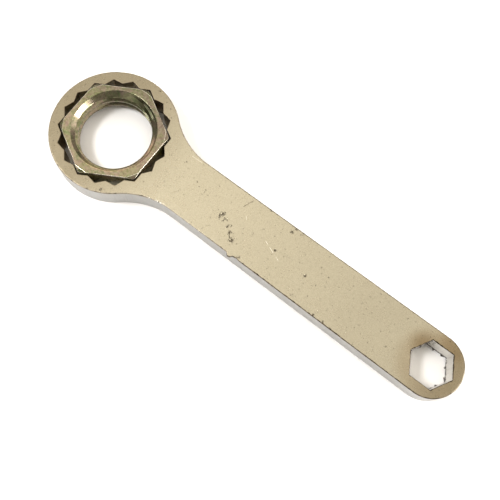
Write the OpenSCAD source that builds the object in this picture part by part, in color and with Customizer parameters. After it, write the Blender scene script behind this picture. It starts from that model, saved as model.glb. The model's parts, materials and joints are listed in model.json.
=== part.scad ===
// Fire hydrant wrench: a flat plate spanner with an 18-point ring at one end and a hexagon
// hole at the other, and a threaded hexagon nut that sits loose in the ring.
// The origin is on the underside, on the axis of the ring. The handle runs along +X.

/* [Ring] */
// Size across flats of the 18-point opening
star_af = 56; // [40:0.5:75]
// Wall of the ring outside the points of the opening
ring_wall = 5; // [3:0.5:12]

/* [Plate] */
// Thickness of the plate
plate_t = 16; // [10:0.5:20]
// Distance from the ring's axis to the axis of the hexagon hole
handle_l = 218; // [150:1:300]
// Width of the handle where it leaves the neck
neck_w = 33.5; // [24:0.5:50]
// Width of the handle at its round end
end_w = 36; // [34:0.5:56]
// Radius of the hollow fillets between the ring and the handle
neck_r = 45; // [15:1:60]

/* [Hexagon hole] */
// Size across flats of the hexagon head that the hole turns
head_af = 22; // [10:1:24]
// Clearance across flats of the hexagon hole
head_gap = 1; // [0.2:0.1:2]

/* [Nut] */
// Clearance across flats between the nut and the 18-point opening
nut_gap = 1.4; // [0.4:0.1:3]
// How far the nut stands above the plate
nut_proud = 1.5; // [0.5:0.1:6]
// Wall of the nut at its flats, outside the thread's nominal diameter
nut_wall = 3.3; // [2:0.1:8]
// Pitch of the nut's thread
thread_p = 5; // [1:0.5:5]
// How far each 90 degree countersink opens past the thread's nominal diameter
sink_d = 1.4; // [0.2:0.1:2]
// How far the 30 degree chamfer cuts in from the nut's corners on each face
corner_cut = 2.3; // [0.5:0.1:3]

/* [Hidden] */
$fn = 96;

// A regular hexagon's sides and its half angle
hexagon = 6;
half_turn = 30;
// Hexagons that make up the 18 points, and the angle between one point and the next
star_hexagons = 3;
star_step = 60 / star_hexagons;
chamfer_angle = 30;
// Internal thread: minor diameter lies this many pitches inside the nominal one
thread_depth = 1.0825;
// The neck fillets run this far into the ring, so that the surfaces cross cleanly
neck_bite = 0.05;
// How far a cut runs past the face that it goes through
over = 1;

ring_r = star_af / 2 / cos(half_turn) + ring_wall;
end_r = end_w / 2;
neck_half = neck_w / 2;
head_hole_af = head_af + head_gap;

nut_af = star_af - nut_gap;
nut_h = plate_t + nut_proud;
nut_corner_r = nut_af / 2 / cos(half_turn);
nut_face_r = nut_corner_r - corner_cut;
thread_d = nut_af - 2 * nut_wall;
thread_minor_r = (thread_d - thread_depth * thread_p) / 2;
sink_r = (thread_d + sink_d) / 2;
sink_l = sink_r - thread_minor_r;

// The sides of the handle are tangent to its round end and taper towards the ring
taper = asin((end_r - neck_half) / handle_l);
end_x = sqrt(pow(handle_l, 2) - pow(end_r - neck_half, 2));
// Centre of a neck fillet, measured along and across the side that it is tangent to
fillet_y = neck_half + neck_r;
fillet_x = sqrt(pow(ring_r + neck_r - neck_bite, 2) - pow(fillet_y, 2));
// Share of the way from the ring's axis to a fillet's centre at which the two arcs touch
touch = ring_r / (ring_r + neck_r);

// A point x along and y across a tapered side, on the left (side 1) or right (side -1)
function on_side(x, y, side) = [
    x * cos(taper) - y * sin(taper),
    side * (x * sin(taper) + y * cos(taper))
];

// Regular hexagon by its size across flats, with a corner on +X
module hexagon_2d(af) {
    circle(d = af / cos(half_turn), $fn = hexagon);
}

// Straight-sided blank of the handle, wide enough at the ring for the fillets
module handle_blank() {
    linear_extrude(plate_t)
        polygon([
            [0, 0],
            on_side(fillet_x * touch, fillet_y * touch, 1),
            on_side(fillet_x, neck_half, 1),
            on_side(end_x, neck_half, 1),
            [handle_l, 0],
            on_side(end_x, neck_half, -1),
            on_side(fillet_x, neck_half, -1),
            on_side(fillet_x * touch, fillet_y * touch, -1)
        ]);
}

// The blank with its hollow fillets cut out on both sides of the neck
module handle() {
    difference() {
        handle_blank();
        for (side = [-1, 1])
            translate(concat(on_side(fillet_x, fillet_y, side), -over))
                cylinder(r = neck_r, h = plate_t + 2 * over);
    }
}

// 18-point opening: three hexagons turned by 20 degrees, with a valley on the handle's axis
module star_hole() {
    translate([0, 0, -over])
        linear_extrude(plate_t + 2 * over)
            for (i = [0 : star_hexagons - 1])
                rotate(star_step * (i + 0.5))
                    hexagon_2d(star_af);
}

// Hexagon hole, with a corner on the handle's axis
module head_hole() {
    translate([handle_l, 0, -over])
        linear_extrude(plate_t + 2 * over)
            hexagon_2d(head_hole_af);
}

// One plate: the ring, the handle and its round end, cut through with both openings
module wrench_body() {
    color([0.80, 0.75, 0.62])
        difference() {
            union() {
                cylinder(r = ring_r, h = plate_t);
                handle();
                translate([handle_l, 0, 0])
                    cylinder(r = end_r, h = plate_t);
            }
            star_hole();
            head_hole();
        }
}

// Turned envelope that chamfers the nut's corners at both faces
module nut_envelope() {
    drop = corner_cut * tan(chamfer_angle);
    rotate_extrude()
        polygon([
            [0, 0],
            [nut_face_r, 0],
            [nut_corner_r, drop],
            [nut_corner_r + over, drop],
            [nut_corner_r + over, nut_h - drop],
            [nut_corner_r, nut_h - drop],
            [nut_face_r, nut_h],
            [0, nut_h]
        ]);
}

// Bore at the thread's minor diameter, countersunk at both faces
module nut_bore() {
    translate([0, 0, -over])
        cylinder(r = thread_minor_r, h = nut_h + 2 * over);
    cylinder(r1 = sink_r, r2 = thread_minor_r, h = sink_l);
    translate([0, 0, nut_h - sink_l])
        cylinder(r1 = thread_minor_r, r2 = sink_r, h = sink_l);
}

// Hexagon nut, turned so that its corners stand in points of the 18-point opening
module hex_nut() {
    color([0.66, 0.62, 0.44])
        difference() {
            intersection() {
                rotate(star_step * 1.5)
                    linear_extrude(nut_h)
                        hexagon_2d(nut_af);
                nut_envelope();
            }
            nut_bore();
        }
}

wrench_body();
hex_nut();
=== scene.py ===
import json
import math

import bmesh
import bpy
from mathutils import Matrix, Vector, noise
from mathutils.geometry import delaunay_2d_cdt


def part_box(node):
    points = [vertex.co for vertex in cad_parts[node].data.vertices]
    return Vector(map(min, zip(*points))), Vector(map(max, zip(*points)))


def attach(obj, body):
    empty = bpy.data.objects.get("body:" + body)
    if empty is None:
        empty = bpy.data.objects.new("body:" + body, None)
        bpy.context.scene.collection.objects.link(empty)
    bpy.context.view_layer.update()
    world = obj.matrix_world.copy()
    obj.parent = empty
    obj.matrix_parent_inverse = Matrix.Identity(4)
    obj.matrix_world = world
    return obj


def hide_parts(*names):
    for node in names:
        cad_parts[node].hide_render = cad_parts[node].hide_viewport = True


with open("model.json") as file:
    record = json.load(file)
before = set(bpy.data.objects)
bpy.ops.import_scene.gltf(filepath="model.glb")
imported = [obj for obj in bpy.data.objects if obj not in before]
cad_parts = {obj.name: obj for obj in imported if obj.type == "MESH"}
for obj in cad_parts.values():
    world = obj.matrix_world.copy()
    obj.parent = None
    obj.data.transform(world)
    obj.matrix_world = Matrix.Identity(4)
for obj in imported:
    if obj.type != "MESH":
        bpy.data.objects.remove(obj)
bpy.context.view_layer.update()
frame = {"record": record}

# ---------------------------------------------------------------- sizes, in metres
MM = 0.001
_, plate_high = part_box("wrench_body")
_, nut_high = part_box("hex_nut")
mounts = {mount["name"]: mount for mount in frame["record"]["mounts"]}
thread = mounts["nut_thread"]["dims"]
HALF_HEX = math.radians(30)

PLATE_T = plate_high.z
RING_R = plate_high.y
HANDLE_L = mounts["hex_socket"]["pos_m"][0]
END_R = plate_high.x - HANDLE_L
RING_WALL = 5 * MM
STAR_TIP_R = RING_R - RING_WALL
NECK_HALF = 16.75 * MM
NECK_R = 45 * MM
HEAD_HOLE_AF = 23 * MM
TAPER = math.asin((END_R - NECK_HALF) / HANDLE_L)
STAR_STEP = math.radians(20)

NUT_H = nut_high.z
NUT_APOTHEM = nut_high.x
NUT_CORNER_CUT = 2.3 * MM
NUT_FACE_R = NUT_APOTHEM / math.cos(HALF_HEX) - NUT_CORNER_CUT
THREAD_R = 24 * MM
THREAD_MINOR_R = thread["r_mm"] * MM
# The thread's depth is this share of its pitch
THREAD_DEPTH = 0.54125
THREAD_PITCH = (THREAD_R - THREAD_MINOR_R) / THREAD_DEPTH
SINK_L = (NUT_H - thread["length_mm"] * MM) / 2
SINK_R = THREAD_MINOR_R + SINK_L
# The direction in which the thread's groove crosses the bottom face
THREAD_START = math.radians(131)
CREST_SHARE = 0.22
ROOT_SHARE = 0.14

# Rounding of the plate's outer edges, of its openings' edges, and of the nut's edges
EDGE_R = 0.5 * MM
CUT_EDGE_R = 0.28 * MM
HEAD_EDGE_R = 0.4 * MM
NUT_EDGE_R = 0.4 * MM
LIP = 0.15 * MM

# Steps between points along the handle's sides and along the openings
SIDE_STEP = 0.45 * MM
CUT_STEP = 0.5 * MM
# Rows of points round an edge of the plate, and levels down its walls
EDGE_ROWS = 5
WALL_LEVELS = 8
# Places in the nut's outer column that belong to its rounded edges
ROUNDED = (3, 4, 5, 7, 8, 9, 10)

# Colours of the plating, and how much it darkens at three places
PLATE_LOW = (0.379, 0.347, 0.262)
PLATE_HIGH = (0.399, 0.366, 0.277)
RING_TINT = (0.61, 0.58, 0.54)
END_TINT = (0.86, 0.81, 0.76)
TIP_TINT = (0.72, 0.70, 0.66)

# Painted highlights and painted shade on the nut's upper countersink: lighter and darker patches
# set to match the photo's arcs of light and shade. Middle, reach and full strength in mm, colour factors
SINK_PAINTED_LIGHT = (
    (2, 22.9, 24, 14, (0.76, 0.79, 0.77)),
    (11.5, -19.9, 19, 6, (2.8, 2.55, 2.3)),
    (4.1, 23.1, 12, 2, (0.30, 0.33, 0.22)),
    (-22.1, -8.0, 7, 2, (1.9, 1.75, 2.1)),
    (23.5, 0, 14, 4, (1.75, 1.5, 1.5)),
)

# Clusters of pits on the plate's faces: middle and radius in mm
PIT_CLUSTERS = (
    (78.8, -2, 4.2), (81.5, -3.2, 3.0), (85, -4.6, 3.4), (91.9, -10.1, 4.2), (88.5, -7.5, 2.8),
    (115.5, 13.8, 2.4), (114.5, -0.7, 1.7), (117.7, 3.3, 1.6), (15.7, -31.4, 1.8), (4.8, 35.4, 1.4),
    (100.5, -16.2, 2.6), (136, -2, 1.6), (99.4, 16.9, 1.8), (116.5, 16.8, 2.0), (120.9, 16.6, 2.3),
    (152, -17, 2.2), (158, -17, 2.0), (164, -17.2, 1.9), (178, -17.2, 1.5),
)

# Marks of the cutting on the handle's right side: a broken-off tab and a notch
TAB_X = 95.6 * MM
NOTCH_X = 100.3 * MM
# The stretch of the handle in which both marks lie
MARKS_FROM = 80 * MM
MARKS_TO = 120 * MM

# Places of a brown smudge, a stain, spots in the hexagon hole's corner and bright nicks on the neck
SMUDGE = (0.2085, 0.0062, 0)
STAIN = (0.222, 0.015, 0)
SPOTS = (0.2122, 0.0109, 0)
NICKS = (0.044, -0.018, 0)

FLOOR_HALF = 5.0
# How far the floor lies below the wrench, so that no two faces fall together
FLOOR_DROP = 0.02 * MM


# ---------------------------------------------------------------- outlines
def on_side(x, y, side):
    """A point x along and y across a tapered side of the handle, on the left (1) or right (-1)."""
    return Vector((x * math.cos(TAPER) - y * math.sin(TAPER),
                   side * (x * math.sin(TAPER) + y * math.cos(TAPER))))


def arc(centre, radius, start, stop, step=0.6 * MM):
    """Points along an arc, without its last one."""
    count = max(4, math.ceil(abs(stop - start) * radius / step))
    turns = [start + (stop - start) * i / count for i in range(count)]
    return [centre + radius * Vector((math.cos(t), math.sin(t))) for t in turns]


def straight(a, b, step):
    """Points along a line, without its last one."""
    count = max(1, round((b - a).length / step))
    return [a.lerp(b, i / count) for i in range(count)]


def corners(centre, radius, angles):
    """Points round a centre, one in each direction."""
    return [centre + radius * Vector((math.cos(a), math.sin(a))) for a in angles]


def subdivided(points, step):
    """A closed polygon with points added along its sides."""
    loop = []
    for a, b in zip(points, points[1:] + points[:1]):
        loop += straight(a, b, step)
    return loop


def plate_outline():
    """The plate's edge, anticlockwise: ring, right side, round end, left side."""
    across = NECK_HALF + NECK_R
    along = math.sqrt((RING_R + NECK_R) ** 2 - across ** 2)
    reach = math.sqrt(HANDLE_L ** 2 - (END_R - NECK_HALF) ** 2)
    left, right = on_side(along, across, 1), on_side(along, across, -1)
    touch = math.atan2(left.y, left.x)
    quarter = math.pi / 2
    origin, end = Vector((0, 0)), Vector((HANDLE_L, 0))
    loop = arc(origin, RING_R, touch, 2 * math.pi - touch)
    loop += arc(right, NECK_R, math.pi - touch, quarter - TAPER)
    loop += straight(on_side(along, NECK_HALF, -1), on_side(reach, NECK_HALF, -1), SIDE_STEP)
    loop += arc(end, END_R, -quarter - TAPER, quarter + TAPER)
    loop += straight(on_side(reach, NECK_HALF, 1), on_side(along, NECK_HALF, 1), SIDE_STEP)
    loop += arc(left, NECK_R, TAPER - quarter, touch - math.pi)
    return loop


def star_outline():
    """The 18-point opening, clockwise, with a valley on the handle's axis."""
    apothem = STAR_TIP_R * math.cos(HALF_HEX)
    valley_r = apothem / math.cos(HALF_HEX - STAR_STEP / 2)
    points = []
    for i in range(18):
        points += corners(Vector((0, 0)), valley_r, [-STAR_STEP * i])
        points += corners(Vector((0, 0)), STAR_TIP_R, [-STAR_STEP * (i + 0.5)])
    return subdivided(points, CUT_STEP)


def head_outline():
    """The hexagon hole, clockwise, with a corner on the handle's axis."""
    radius = HEAD_HOLE_AF / 2 / math.cos(HALF_HEX)
    angles = [-2 * HALF_HEX * i for i in range(6)]
    return subdivided(corners(Vector((HANDLE_L, 0)), radius, angles), CUT_STEP)


def offset(loop, distance):
    """The loop moved into the metal, which lies on its left, by distance(point) at each point."""
    moved = []
    for before, here, after in zip(loop[-1:] + loop[:-1], loop, loop[1:] + loop[:1]):
        back, ahead = (here - before).normalized(), (after - here).normalized()
        normal = Vector((-back.y - ahead.y, back.x + ahead.x)).normalized()
        share = max(0.4, normal.dot(Vector((-ahead.y, ahead.x))))
        moved.append(here + normal * distance(here) / share)
    return moved


# ---------------------------------------------------------------- meshes
def new_mesh(name, verts, faces, looks, look_of=None, sharp=40):
    """A smooth-shaded piece. look_of gives each face's number in looks."""
    mesh = bpy.data.meshes.new(name)
    mesh.from_pydata([tuple(v) for v in verts], [], faces)
    for look in looks:
        mesh.materials.append(look)
    for i, polygon in enumerate(mesh.polygons):
        polygon.use_smooth = True
        polygon.material_index = look_of[i] if look_of else 0
    clean(mesh)
    mesh.set_sharp_from_angle(angle=math.radians(sharp))
    piece = bpy.data.objects.new(name, mesh)
    bpy.context.scene.collection.objects.link(piece)
    return piece


def clean(mesh, distance=0.002 * MM):
    """Joins points that fall together and drops the faces that vanish with them."""
    work = bmesh.new()
    work.from_mesh(mesh)
    bmesh.ops.remove_doubles(work, verts=work.verts, dist=distance)
    bmesh.ops.dissolve_degenerate(work, edges=work.edges, dist=distance)
    bmesh.ops.recalc_face_normals(work, faces=work.faces)
    work.to_mesh(mesh)
    work.free()


def edge_wear(point):
    """How much rounder than usual an edge is at this place."""
    slow = noise.noise(Vector((point.x * 90, point.y * 90, 3.1)))
    quick = noise.noise(Vector((point.x * 620, point.y * 620, 7.7)))
    rough = 0.9 if math.hypot(point.x - HANDLE_L, point.y) < HEAD_HOLE_AF * 0.7 else 0.4
    return min(1.8, max(0.6, 1 + 0.3 * slow + rough * quick))


def bell(distance, width):
    """1 in the middle, falling off smoothly over a width."""
    return math.exp(-(distance / width) ** 2)


def dross(point):
    """The point, moved into the hexagon hole where slag hangs from its lower edge."""
    middle = Vector((HANDLE_L, 0, point.z))
    lump = noise.noise(point * 520) - 0.02 - 0.2 * (point.x < HANDLE_L - 5 * MM)
    reach = 2.6 * MM * max(0, lump) * bell(point.z - 0.8 * MM, 1.1 * MM)
    return point + (middle - point).normalized() * reach


def cut_marks(point):
    """The point, moved outwards at the tab, inwards at the notch and where slag hangs."""
    if math.hypot(point.x - HANDLE_L, point.y) < HEAD_HOLE_AF * 0.6:
        return dross(point)
    if point.y > -NECK_HALF + EDGE_R * 3 or not MARKS_FROM < point.x < MARKS_TO:
        return point
    high = point.z / PLATE_T
    nub = math.exp(-((point.x - TAB_X) / (1.6 * MM)) ** 4)
    out = 2.0 * MM * nub * bell(high - 0.85, 0.25)
    out -= 0.4 * MM * bell(point.x - NOTCH_X, 0.8 * MM) * min(1, max(0, (high - 0.75) * 6))
    return Vector((point.x, point.y - out, point.z))


def edge_profile(radius):
    """Inset and depth of the rounded edge's rows, as shares of its radius, from face to wall."""
    rows = [(1 + 0.35 * MM / radius, 0)]
    for i in range(EDGE_ROWS):
        turn = i / (EDGE_ROWS - 1) * math.pi / 2
        rows.append((1 - math.sin(turn), 1 - math.cos(turn)))
    return rows


def wall_rows(loop, radius):
    """Rings of points from the top face, round the top edge, down the wall and round the bottom edge."""
    rows = []
    for inset, drop in edge_profile(radius):
        ring = offset(loop, lambda p, share=inset: share * radius * edge_wear(p))
        heights = [PLATE_T - drop * radius * edge_wear(p) for p in loop]
        rows.append([Vector((q.x, q.y, height)) for q, height in zip(ring, heights)])
    under = [[Vector((q.x, q.y, PLATE_T - q.z)) for q in ring] for ring in reversed(rows)]
    for i in range(1, WALL_LEVELS):
        rows.append([a.lerp(b, i / WALL_LEVELS) for a, b in zip(rows[EDGE_ROWS], under[0])])
    return [[cut_marks(point) for point in row] for row in rows + under]


def flat_face(rings):
    """Triangles between the outer ring of points and the rings of the openings."""
    points, edges = [], []
    for ring in rings:
        first = len(points)
        points += [Vector((p.x, p.y)) for p in ring]
        edges += [(first + i, first + (i + 1) % len(ring)) for i in range(len(ring))]
    verts, _, faces, _, _, _ = delaunay_2d_cdt(points, edges, [], 1, 1e-9)
    if len(verts) != len(points):
        raise RuntimeError("the plate's face has points that its edges don't")
    middles = [sum((verts[i] for i in face), Vector((0, 0))) / 3 for face in faces]
    openings = [((0, 0), STAR_TIP_R + MM, rings[1]), ((HANDLE_L, 0), HEAD_HOLE_AF, rings[2])]
    for centre, reach, ring in openings:
        near = [(m - Vector(centre)).length < reach for m in middles]
        inner = [close and inside(m, ring) for close, m in zip(near, middles)]
        faces = [face for face, cut in zip(faces, inner) if not cut]
        middles = [m for m, cut in zip(middles, inner) if not cut]
    return faces


def inside(point, ring):
    """Whether a point lies inside a closed ring."""
    odd = False
    for a, b in zip(ring, ring[1:] + ring[:1]):
        if (a.y > point.y) != (b.y > point.y):
            if point.x < a.x + (point.y - a.y) / (b.y - a.y) * (b.x - a.x):
                odd = not odd
    return odd


def make_plate(face, edge, side, star, head):
    """The wrench's plate, with rounded edges all round and in both openings."""
    loops = [
        (plate_outline(), EDGE_R, 2),
        (star_outline(), CUT_EDGE_R, 3),
        (head_outline(), HEAD_EDGE_R, 4),
    ]
    verts, faces, looks, tops, bottoms = [], [], [], [], []
    for loop, radius, wall_look in loops:
        rows = wall_rows(loop, radius)
        count = len(loop)
        first = len(verts)
        for row in rows:
            verts += row
        last = len(rows) - 1
        for r in range(last):
            a, b = first + r * count, first + (r + 1) * count
            faces += [(a + i, b + i, b + (i + 1) % count, a + (i + 1) % count) for i in range(count)]
            inward = min(r, last - 1 - r)
            looks += [0 if inward == 0 else 1 if inward < EDGE_ROWS else wall_look] * count
        tops += [first + i for i in range(count)]
        bottoms += [first + last * count + i for i in range(count)]
    rings, start = [], 0
    for loop, _, _ in loops:
        rings.append([verts[i] for i in tops[start:start + len(loop)]])
        start += len(loop)
    for a, b, c in flat_face(rings):
        faces.append((tops[a], tops[b], tops[c]))
        faces.append((bottoms[c], bottoms[b], bottoms[a]))
        looks += [0, 0]
    piece = new_mesh("wrench_plate", verts, faces, [face, edge, side, star, head], looks, sharp=32)
    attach(piece, "wrench")
    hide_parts("wrench_body")


# ---------------------------------------------------------------- nut
def hexagon_r(turn, apothem, rounding):
    """Radius of a hexagon with rounded corners, in the direction turn from a corner."""
    off = abs((turn + HALF_HEX) % (2 * HALF_HEX) - HALF_HEX)
    middle = (apothem - rounding) / math.cos(HALF_HEX)
    if apothem * math.tan(HALF_HEX - off) > middle * math.sin(HALF_HEX):
        return middle * math.cos(off) + math.sqrt(rounding ** 2 - (middle * math.sin(off)) ** 2)
    return apothem / math.cos(HALF_HEX - off)


def nut_turns():
    """Directions of the nut's columns of points, closer together at the corners."""
    half = [0, 0.25, 0.5, 0.8, 1.2, 1.8] + [2.5 + 1.25 * i for i in range(22)]
    sector = [math.radians(a) for a in half] + [math.radians(60 - a) for a in reversed(half[1:])]
    return [k * 2 * HALF_HEX + a for k in range(6) for a in sector]


def thread_r(height, turn):
    """Radius of the helical thread's surface: flat crests, straight flanks, rounded roots."""
    phase = (height / THREAD_PITCH - (turn - THREAD_START) / (2 * math.pi)) % 1
    off = abs(phase - 0.5) * 2
    climb = min(1, max(0, (1 - off - CREST_SHARE) / (1 - CREST_SHARE - ROOT_SHARE)))
    smooth = climb * climb * (3 - 2 * climb) * 0.4 + climb * 0.6
    return THREAD_MINOR_R + (THREAD_R - THREAD_MINOR_R) * smooth


def sink_r(height):
    """Radius of the countersinks at a height: they open towards both faces."""
    return SINK_R - (SINK_R - THREAD_MINOR_R) * min(height, NUT_H - height) / SINK_L


def bore_column(turn, low, high):
    """Points up the threaded bore at one direction. The rows follow the thread's rise."""
    per_pitch = 26
    rise = THREAD_PITCH * turn / (2 * math.pi)
    rows = math.ceil((high - low) / THREAD_PITCH * per_pitch) + per_pitch
    column = []
    for i in range(rows + 1):
        height = min(high, max(low, low + (i / per_pitch - 1) * THREAD_PITCH + rise))
        column.append((max(thread_r(height, turn), sink_r(height)), height))
    return column


def outer_column(turn):
    """Radius and depth of points from the sink's rim, round the edge, to half way down the wall."""
    wall_r = hexagon_r(turn - HALF_HEX, NUT_APOTHEM, NUT_EDGE_R * 1.5)
    slope = math.tan(HALF_HEX)
    inner = min(wall_r - NUT_EDGE_R, NUT_FACE_R - NUT_EDGE_R * (1 - 1.5 * slope / 1.2))
    deep = max(NUT_EDGE_R, (wall_r - NUT_FACE_R + NUT_EDGE_R) * slope)
    column = [(SINK_R + LIP, 0), (SINK_R + 3 * LIP, 0), (inner - 0.3 * MM, 0)]
    for degrees in (0, 10, 20, 30):
        t = math.radians(degrees)
        column.append((inner + NUT_EDGE_R * math.sin(t), NUT_EDGE_R * (1 - math.cos(t))))
    for degrees in (30, 45, 60, 75, 90):
        t = math.radians(degrees)
        column.append((wall_r - NUT_EDGE_R + NUT_EDGE_R * math.sin(t), deep - NUT_EDGE_R * math.cos(t)))
    return column + [(wall_r, deep + 0.4 * MM), (wall_r, NUT_H / 2)]


def make_nut(look, edge):
    """The loose nut: chamfered hexagon outside, countersunk right-hand thread inside."""
    turns = nut_turns() + [2 * math.pi]
    verts, faces, looks = [], [], []
    for turn in turns:
        bore = bore_column(turn, LIP, NUT_H - LIP)
        outer = outer_column(turn)
        column = bore + [(r, NUT_H - d) for r, d in outer] + list(reversed(outer))[1:]
        verts += [Vector((r * math.cos(turn), r * math.sin(turn), z)) for r, z in column]
    edge_rows = [len(bore) + i for i in ROUNDED]
    edge_rows += [len(column) - 2 - i for i in ROUNDED]
    rows = len(column)
    for c in range(len(turns) - 1):
        a, b = c * rows, (c + 1) * rows
        faces += [(a + i, b + i, b + (i + 1) % rows, a + (i + 1) % rows) for i in range(rows)]
        looks += [1 if i in edge_rows else 0 for i in range(rows)]
    piece = new_mesh("nut_threaded", verts, faces, [look, edge], looks, sharp=30)
    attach(piece, "nut")
    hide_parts("hex_nut")


# ---------------------------------------------------------------- materials
class Nodes:
    """A short way to write a material's node tree."""

    def __init__(self, name):
        self.material = bpy.data.materials.new(name)
        self.material.use_nodes = True
        self.tree = self.material.node_tree
        self.shader = self.tree.nodes["Principled BSDF"]
        self.place = self.add("ShaderNodeTexCoord").outputs["Object"]

    def add(self, kind, **values):
        """A new node with its settings."""
        node = self.tree.nodes.new(kind)
        for key, value in values.items():
            setattr(node, key, value)
        return node

    def link(self, source, target):
        """Joins an output to an input."""
        self.tree.links.new(source, target)

    def noise(self, scale, detail=4, roughness=0.55, distortion=0.0, stretch=None):
        """Noise fixed to the object, drawn out along an axis if stretch is given."""
        node = self.add("ShaderNodeTexNoise")
        node.inputs["Scale"].default_value = scale
        node.inputs["Detail"].default_value = detail
        node.inputs["Roughness"].default_value = roughness
        node.inputs["Distortion"].default_value = distortion
        if stretch:
            mapping = self.add("ShaderNodeMapping")
            mapping.inputs["Scale"].default_value = stretch
            self.link(self.place, mapping.inputs["Vector"])
            self.link(mapping.outputs["Vector"], node.inputs["Vector"])
        else:
            self.link(self.place, node.inputs["Vector"])
        return node.outputs["Fac"]

    def ramp(self, factor, *stops):
        """Colours at places along a factor: (place, (r, g, b))."""
        node = self.add("ShaderNodeValToRGB")
        while len(node.color_ramp.elements) < len(stops):
            node.color_ramp.elements.new(0.5)
        for element, (place, colour) in zip(node.color_ramp.elements, stops):
            element.position = place
            element.color = (*colour, 1)
        self.link(factor, node.inputs["Fac"])
        return node.outputs["Color"]

    def greys(self, factor, low, high):
        """A grey that goes from low to high along a factor."""
        return self.ramp(factor, (0.3, (low,) * 3), (0.7, (high,) * 3))

    def mask(self, factor, low, high):
        """0 on the low side, 1 beyond the high one, which may be the smaller number."""
        node = self.add("ShaderNodeMapRange", clamp=True)
        node.interpolation_type = "SMOOTHSTEP"
        node.inputs["From Min"].default_value = low
        node.inputs["From Max"].default_value = high
        self.link(factor, node.inputs["Value"])
        return node.outputs["Result"]

    def maths(self, operation, a, b):
        """An operation on two numbers or outputs."""
        node = self.add("ShaderNodeMath", operation=operation)
        for socket, value in zip(node.inputs, (a, b)):
            if isinstance(value, (int, float)):
                socket.default_value = value
            else:
                self.link(value, socket)
        return node.outputs["Value"]

    def vector(self, operation, a, b, out="Vector"):
        """The same for two vectors."""
        node = self.add("ShaderNodeVectorMath", operation=operation)
        for socket, value in zip(node.inputs, (a, b)):
            if isinstance(value, (tuple, Vector)):
                socket.default_value = value
            else:
                self.link(value, socket)
        return node.outputs[out]

    def flat(self):
        """The place on the object without its height."""
        return self.vector("MULTIPLY", self.place, (1, 1, 0))

    def along(self, axis):
        """The place on the object along one axis."""
        node = self.add("ShaderNodeSeparateXYZ")
        self.link(self.place, node.inputs["Vector"])
        return node.outputs[axis]

    def distance(self, point):
        """Distance from the axis that stands on a point."""
        return self.vector("DISTANCE", self.flat(), point, "Value")

    def line(self, a, b, width):
        """1 on a straight line between two points, given in millimetres."""
        start, stop = Vector((*a, 0)) * MM, Vector((*b, 0)) * MM
        ahead = (stop - start).normalized()
        off = self.vector("SUBTRACT", self.flat(), (start + stop) / 2)
        reach = self.maths("ABSOLUTE", self.vector("DOT_PRODUCT", off, ahead, "Value"), 0)
        across = self.vector("DOT_PRODUCT", off, Vector((-ahead.y, ahead.x, 0)), "Value")
        across = self.maths("ABSOLUTE", across, 0)
        half = (stop - start).length / 2
        return self.maths("MULTIPLY", self.mask(reach, half, half * 0.8),
                          self.mask(across, width * MM, width * 0.4 * MM))

    def tint(self, colour, mask, factors):
        """The colour multiplied by the factors where the mask is 1."""
        return self.mix(mask, colour, self.mix(1.0, colour, factors, "MULTIPLY"))

    def mix(self, factor, a, b, blend="MIX"):
        """Two colours mixed by a factor."""
        node = self.add("ShaderNodeMix", data_type="RGBA", blend_type=blend)
        slots = {s.identifier: s for s in node.inputs}
        for key, value in (("Factor_Float", factor), ("A_Color", a), ("B_Color", b)):
            if isinstance(value, (int, float)):
                slots[key].default_value = value
            elif isinstance(value, tuple):
                slots[key].default_value = (*value, 1)
            else:
                self.link(value, slots[key])
        return next(s for s in node.outputs if s.identifier == "Result_Color")

    def bump(self, height, distance, strength=1.0, under=None):
        """A normal raised by a height, on top of another normal if one is given."""
        node = self.add("ShaderNodeBump")
        node.inputs["Distance"].default_value = distance
        node.inputs["Strength"].default_value = strength
        self.link(height, node.inputs["Height"])
        if under:
            self.link(under, node.inputs["Normal"])
        return node.outputs["Normal"]

    def finish(self, colour, roughness, normal, metallic=1.0):
        """The material, with its shader joined up."""
        self.shader.inputs["Metallic"].default_value = metallic
        self.link(colour, self.shader.inputs["Base Color"])
        self.link(roughness, self.shader.inputs["Roughness"])
        self.link(normal, self.shader.inputs["Normal"])
        return self.material


def metal_grain(n, colour, amount=0.5):
    """Fine light and dark grain over a colour, and its height."""
    grain = n.noise(1700, 4, 0.75)
    shade = n.ramp(grain, (0.35, (0.72, 0.71, 0.69)), (0.65, (1.1, 1.1, 1.1)))
    return n.mix(amount, colour, n.mix(1.0, colour, shade, "MULTIPLY")), grain


def plate_face_look():
    """Satin nickel tone, browner at the ring's far side and round the hexagon hole."""
    n = Nodes("plate_face")
    colour = n.ramp(n.noise(22, 3, 0.5), (0.35, PLATE_LOW), (0.65, PLATE_HIGH))
    colour = n.tint(colour, n.mask(n.along("X"), 0.05, -0.005), RING_TINT)
    end = n.distance((HANDLE_L, 0, 0))
    colour = n.tint(colour, n.mask(end, 0.024, 0.014), END_TINT)
    colour = n.tint(colour, n.mask(n.along("X"), 0.205, 0.232), TIP_TINT)
    smudge = n.mask(n.distance(SMUDGE), 0.0105, 0.001)
    colour = n.tint(colour, smudge, (0.66, 0.59, 0.50))
    colour = n.tint(colour, n.mask(n.distance(STAIN), 0.013, 0.003), (0.82, 0.75, 0.66))
    colour, grain = metal_grain(n, colour, 0.65)
    pits, scratches = plate_pits(n), plate_scratches(n)
    colour = n.mix(n.maths("MULTIPLY", pits, 0.85), colour, (0.06, 0.045, 0.03))
    colour = n.mix(n.maths("MULTIPLY", scratches[0], 0.7), colour, (0.95, 0.93, 0.85))
    colour = n.mix(n.maths("MULTIPLY", scratches[1], 0.75), colour, (0.16, 0.12, 0.08))
    rough = n.greys(n.noise(140, 4), 0.25, 0.31)
    normal = n.bump(grain, 0.007 * MM, 0.35)
    whole = n.maths("SUBTRACT", 1.0, n.maths("MAXIMUM", pits, scratches[1]))
    normal = n.bump(whole, 0.15 * MM, 0.8, normal)
    return n.finish(colour, rough, normal)


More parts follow.
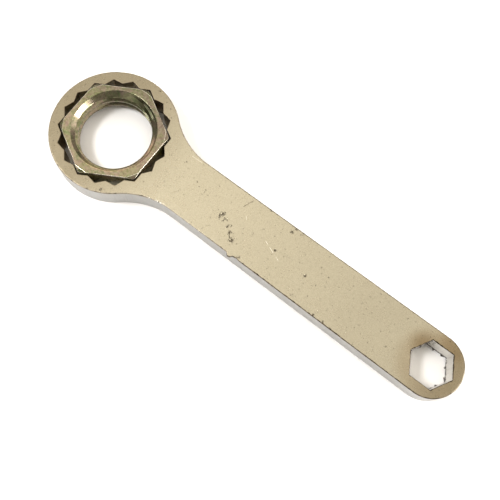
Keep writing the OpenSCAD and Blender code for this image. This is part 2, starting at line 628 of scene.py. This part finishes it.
def plate_pits(n):
    """Pits in the plating: a few anywhere, and clusters where the photo shows them."""
    rare = n.maths("MULTIPLY", n.mask(n.noise(520, 3, 0.6), 0.685, 0.72),
                   n.mask(n.noise(70, 2), 0.5, 0.6))
    crowd = 0.0
    for x, y, radius in PIT_CLUSTERS:
        near = n.mask(n.distance((x * MM, y * MM, 0)), radius * MM, 0)
        crowd = n.maths("MAXIMUM", crowd, near)
    speckle = n.maths("ADD", n.noise(780, 5, 0.75), n.maths("MULTIPLY", crowd, 0.155))
    return n.maths("MAXIMUM", rare, n.mask(speckle, 0.648, 0.68))


def plate_scratches(n):
    """Bright scratches and dark ones."""
    broken = n.mask(n.noise(700, 2), 0.42, 0.55)
    bright = n.maths("MULTIPLY", n.line((106.4, 1.0), (119.9, -4.3), 0.14), broken)
    faint = n.maths("MULTIPLY", n.line((43.8, 15.3), (51.6, 15.6), 0.2), 0.4)
    short = n.maths("MULTIPLY", n.line((89.6, 5.9), (91.4, 3.9), 0.12), 0.7)
    bright = n.maths("MAXIMUM", bright, n.maths("MAXIMUM", faint, short))
    dashes = n.maths("MULTIPLY", n.line((48.5, -9.1), (51.8, -4.4), 0.2), broken)
    return bright, n.maths("MAXIMUM", n.line((85.2, 8.8), (88.1, 16.1), 0.16), dashes)


def plate_edge_look():
    """The rounded edges: worn metal with dark nicks, darker round the ring and along stretches of the
    sides, and painted shade on the hexagon hole's edges.
    """
    n = Nodes("plate_edge")
    colour = n.ramp(n.noise(160, 3), (0.3, (0.28, 0.245, 0.19)), (0.7, (0.38, 0.34, 0.26)))
    colour = n.tint(colour, n.mask(n.along("X"), 0.05, -0.005), (0.72, 0.69, 0.65))
    colour = n.tint(colour, n.mask(n.distance((0, 0, 0)), 0.0345, 0.0335), (0.50, 0.46, 0.42))
    side = n.maths("MULTIPLY", n.mask(n.along("Y"), 0, -0.01), n.mask(n.along("X"), 0.07, 0.11))
    # Painted shade: the hexagon hole's edges are darkened, here and through dark below, as if in shadow
    hole = n.mask(n.distance((HANDLE_L, 0, 0)), 0.0165, 0.015)
    dark = n.maths("MAXIMUM", side, hole)
    colour = n.tint(colour, dark, (0.45, 0.41, 0.37))
    colour = n.tint(colour, hole, (0.45, 0.42, 0.40))
    left = n.maths("MULTIPLY", n.mask(n.along("Y"), 0.005, 0.01), n.mask(n.along("X"), 0.05, 0.07))
    colour = n.tint(colour, left, (0.33, 0.31, 0.29))
    left = n.maths("MULTIPLY", left, n.mask(n.along("X"), 0.135, 0.12))
    crowd = n.maths("ADD", n.maths("MULTIPLY", dark, 0.07), n.maths("MULTIPLY", left, 0.13))
    nicks = n.maths("ADD", n.noise(520, 4, 0.7), crowd)
    colour = n.mix(n.mask(nicks, 0.55, 0.62), colour, (0.05, 0.04, 0.03))
    bright = n.maths("MULTIPLY", n.mask(n.distance(NICKS), 0.007, 0.002),
                     n.mask(n.noise(800, 2), 0.48, 0.54))
    colour = n.mix(bright, colour, (0.95, 0.92, 0.86))
    colour, grain = metal_grain(n, colour)
    rough = n.greys(n.noise(300, 3), 0.36, 0.50)
    return n.finish(colour, rough, n.bump(grain, 0.015 * MM, 0.6))


def cut_wall_look(name, dark, light, dross):
    """A cut wall with fine lines down the cut, and dark dross along both edges."""
    n = Nodes(name)
    lines = n.noise(1, 4, 0.6, stretch=(1500, 1500, 40))
    colour = n.ramp(n.noise(110, 4), (0.3, dark), (0.7, light))
    colour = n.tint(colour, n.mask(lines, 0.5, 0.35), (0.86, 0.85, 0.84))
    height = n.along("Z")
    rim = n.maths("MAXIMUM", n.mask(height, 5.0 * MM, 1.6 * MM),
                  n.mask(height, PLATE_T - 1.4 * MM, PLATE_T))
    corner = n.maths("MULTIPLY", n.mask(n.distance(SPOTS), 0.004, 0.001), 0.6)
    crowd = n.maths("MULTIPLY", n.maths("MAXIMUM", rim, corner), dross)
    spots = n.maths("ADD", n.noise(430, 3, 0.7), crowd)
    colour = n.mix(n.mask(spots, 0.69, 0.73), colour, (0.05, 0.045, 0.04))
    rough = n.greys(lines, 0.30, 0.44)
    return n.finish(colour, rough, n.bump(lines, 0.03 * MM, 0.5))


def zinc_colour_with_painted_light(n):
    """Patches of olive, straw and pink, darker towards +Y, with painted highlights and painted shade in
    the countersink, and warmer on the flanks.
    """
    patches = n.noise(150, 5, 0.65, 1.0)
    colour = n.ramp(patches, (0.36, (0.17, 0.175, 0.095)), (0.46, (0.27, 0.235, 0.15)),
                    (0.53, (0.285, 0.21, 0.165)), (0.62, (0.235, 0.215, 0.12)))
    green = n.mask(n.noise(75, 3), 0.48, 0.60)
    colour = n.tint(colour, green, (0.88, 0.99, 0.82))
    colour = n.tint(colour, n.mask(n.along("Y"), -0.01, 0.025), (0.70, 0.72, 0.74))
    colour = n.tint(colour, n.mask(n.noise(650, 3, 0.7), 0.54, 0.40), (0.74, 0.72, 0.70))
    sink = n.maths("MULTIPLY", n.mask(n.distance((0, 0, 0)), SINK_R + 0.2 * MM, SINK_R),
                   n.mask(n.along("Z"), NUT_H - SINK_L - 0.4 * MM, NUT_H - SINK_L + 0.4 * MM))
    # Painted highlights and painted shade: lighter and darker patches on the countersink
    for x, y, far, close, factors in SINK_PAINTED_LIGHT:
        near = n.mask(n.distance((x * MM, y * MM, 0)), far * MM, close * MM)
        colour = n.tint(colour, n.maths("MULTIPLY", sink, near), factors)
    flank = n.maths("MULTIPLY", n.mask(n.distance((0, 0, 0)), 26.5 * MM, 27.2 * MM),
                    n.mask(n.along("Z"), NUT_H - 1 * MM, NUT_H - 2.5 * MM))
    return n.tint(colour, flank, (1.05, 1.0, 0.66))


def nut_look():
    """Yellow passivated zinc: iridescent patches under a fine grain."""
    n = Nodes("nut_zinc_yellow")
    colour, grain = metal_grain(n, zinc_colour_with_painted_light(n), 0.9)
    rough = n.greys(n.noise(300, 3), 0.14, 0.24)
    bore = n.mask(n.distance((0, 0, 0)), SINK_R + 0.1 * MM, SINK_R - 0.1 * MM)
    rough = n.mix(n.maths("MULTIPLY", bore, 0.6), rough, (0.08, 0.08, 0.08))
    return n.finish(colour, rough, n.bump(grain, 0.009 * MM, 0.5), metallic=0.72)


def nut_edge_look():
    """The nut's edges, brighter in patches: partly worn metal, partly a painted highlight."""
    n = Nodes("nut_edge_wear_and_highlight")
    # Brighter patches on the edges: partly wear, partly a painted highlight
    wear_and_highlight = n.mask(n.noise(140, 3, 0.6), 0.3, 0.6)
    colour = n.mix(wear_and_highlight, zinc_colour_with_painted_light(n), (0.60, 0.57, 0.50))
    colour, grain = metal_grain(n, colour)
    rough = n.greys(n.noise(400, 3), 0.16, 0.28)
    return n.finish(colour, rough, n.bump(grain, 0.004 * MM, 0.4))


def floor_look():
    """Pale matt floor, a little uneven."""
    n = Nodes("floor_white")
    colour = n.ramp(n.noise(3, 2), (0.3, (0.81, 0.80, 0.79)), (0.7, (0.83, 0.82, 0.81)))
    rough = n.greys(n.noise(5, 2), 0.6, 0.65)
    return n.finish(colour, rough, n.bump(n.noise(50, 2), 0.001 * MM), metallic=0.0)


# ---------------------------------------------------------------- floor, light, camera
def make_floor(look):
    """A wide flat floor just under the wrench."""
    size = FLOOR_HALF
    verts = [(-size, -size, 0), (size, -size, 0), (size, size, 0), (-size, size, 0)]
    floor = new_mesh("floor", verts, [(0, 1, 2, 3)], [look])
    floor.location.z = -FLOOR_DROP


def panel(name, place, size, radiance, colour=(1, 1, 1), target=(0.10, 0, 0)):
    """A soft panel, turned to its target, as bright as radiance when seen in a mirror."""
    data = bpy.data.lights.new(name, "AREA")
    data.shape = "RECTANGLE"
    data.size, data.size_y = size
    data.energy = radiance * math.pi * size[0] * size[1]
    data.color = colour
    lamp = bpy.data.objects.new(name, data)
    lamp.location = place
    lamp.rotation_euler = (Vector(target) - Vector(place)).to_track_quat("-Z", "Y").to_euler()
    bpy.context.scene.collection.objects.link(lamp)


def make_light():
    """A dim room, a broad warm ceiling with a gap on the photographer's side, a key light and a low
    panel from the left and a low window on the right."""
    world = bpy.data.worlds.new("studio")
    world.use_nodes = True
    background = world.node_tree.nodes["Background"].inputs
    background["Color"].default_value = (1.0, 0.90, 0.77, 1)
    background["Strength"].default_value = 0.22
    bpy.context.scene.world = world
    warm = (1.0, 0.94, 0.84)
    panel("ceiling", (0.2, 2.325, 1.3), (8.0, 5.35), 1.3, warm, target=(0.2, 2.325, 0))
    panel("ceiling_far", (0.2, -5.4, 1.3), (8.0, 5.2), 1.3, warm, target=(0.2, -5.4, 0))
    panel("ceiling_left", (-0.4, 0.2, 1.29), (0.9, 2.0), 0.35, warm, target=(-0.4, 0.2, 0))
    panel("key", (-0.50, -0.41, 1.21), (0.42, 0.25), 42)
    panel("left_low", (-0.62, -0.62, 0.58), (0.4, 0.18), 7, target=(0, 0, 0.015))
    panel("window", (0.88, 0.16, 0.34), (0.75, 0.2), 15, target=(0, 0, 0.015))


def make_camera():
    """The lens, place, aim and roll of the view."""
    data = bpy.data.cameras.new("view")
    data.sensor_width = 36
    data.lens = 53.67
    camera = bpy.data.objects.new("view", data)
    place = Vector((0.15448, -0.09529, 0.41257))
    aim = Vector((0.10321, -0.00856, PLATE_T))
    tilt = math.radians(37.05)
    back = (place - aim).normalized()
    up = Vector((-math.sin(tilt), math.cos(tilt), 0))
    up = (up - back * up.dot(back)).normalized()
    right = up.cross(back)
    camera.matrix_world = Matrix.Translation(place) @ Matrix((right, up, back)).transposed().to_4x4()
    bpy.context.scene.collection.objects.link(camera)
    bpy.context.scene.camera = camera


def make_view():
    """Plain colours, without a film look."""
    settings = bpy.context.scene.view_settings
    settings.view_transform = "Standard"
    settings.look = "None"


make_camera()
make_view()
make_light()
make_floor(floor_look())
make_plate(plate_face_look(), plate_edge_look(),
           cut_wall_look("side_wall", (0.35, 0.345, 0.335), (0.41, 0.405, 0.39), 0.02),
           cut_wall_look("star_wall", (0.42, 0.36, 0.26), (0.64, 0.55, 0.41), 0.12),
           cut_wall_look("head_wall", (0.62, 0.60, 0.56), (0.70, 0.68, 0.64), 0.30))
make_nut(nut_look(), nut_edge_look())
